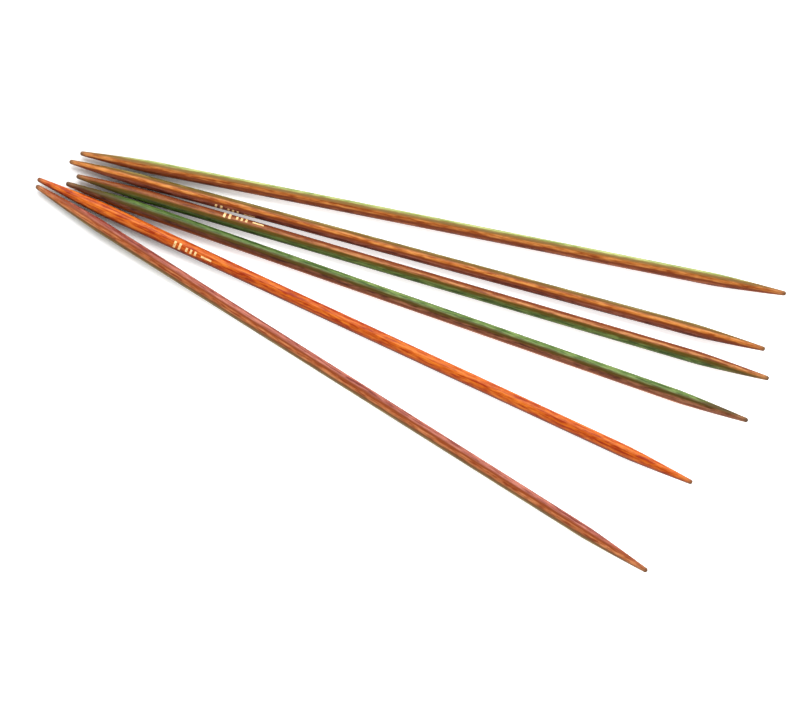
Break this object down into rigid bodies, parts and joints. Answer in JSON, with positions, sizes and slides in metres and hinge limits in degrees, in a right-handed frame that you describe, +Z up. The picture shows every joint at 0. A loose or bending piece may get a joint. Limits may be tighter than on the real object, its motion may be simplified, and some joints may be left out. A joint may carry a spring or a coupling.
{
  "type": "set of straight double-pointed knitting needles",
  "caption": "Straight wooden double-pointed knitting needles turned from glued layers of dyed birch and laid loose in a fan, each with a long taper and a blunt nose at both ends.",
  "frame": {"origin": "bottom centre of the set's bounding box, on the surface that the needles lie on", "axes": "+Z up from the resting surface; +X along the middle of the fan, from the ends that lie close together to the ends that spread apart; +Y towards needle_1, the far side of the fan"},
  "size_m": [0.1566, 0.0654, 0.0027],
  "materials": {
    "veneer_green": "dyed birch veneer under satin lacquer",
    "veneer_orange": "dyed birch veneer under satin lacquer",
    "veneer_maroon": "dyed birch veneer under satin lacquer"
  },
  "bodies": {
    "needle_1": {"needle_1_green_ply": "veneer_green", "needle_1_orange_ply": "veneer_orange", "needle_1_maroon_ply": "veneer_maroon"},
    "needle_2": {"needle_2_green_ply": "veneer_green", "needle_2_orange_ply": "veneer_orange", "needle_2_maroon_ply": "veneer_maroon"},
    "needle_3": {"needle_3_maroon_ply": "veneer_maroon", "needle_3_orange_ply": "veneer_orange", "needle_3_green_ply": "veneer_green"},
    "needle_4": {"needle_4_orange_ply": "veneer_orange", "needle_4_maroon_ply": "veneer_maroon", "needle_4_green_ply": "veneer_green"},
    "needle_5": {"needle_5_orange_ply": "veneer_orange", "needle_5_maroon_ply": "veneer_maroon", "needle_5_green_ply": "veneer_green"},
    "needle_6": {"needle_6_green_ply": "veneer_green", "needle_6_orange_ply": "veneer_orange", "needle_6_maroon_ply": "veneer_maroon"}
  },
  "joints": [
    {"name": "lift_needle_1", "type": "slide", "parent": "needle_3", "child": "needle_1", "axis": [0, 0, 1], "range_m": [0, 0.06]},
    {"name": "lift_needle_2", "type": "slide", "parent": "needle_3", "child": "needle_2", "axis": [0, 0, 1], "range_m": [0, 0.06]},
    {"name": "lift_needle_4", "type": "slide", "parent": "needle_3", "child": "needle_4", "axis": [0, 0, 1], "range_m": [0, 0.06]},
    {"name": "lift_needle_5", "type": "slide", "parent": "needle_3", "child": "needle_5", "axis": [0, 0, 1], "range_m": [0, 0.06]},
    {"name": "lift_needle_6", "type": "slide", "parent": "needle_3", "child": "needle_6", "axis": [0, 0, 1], "range_m": [0, 0.06]}
  ]
}
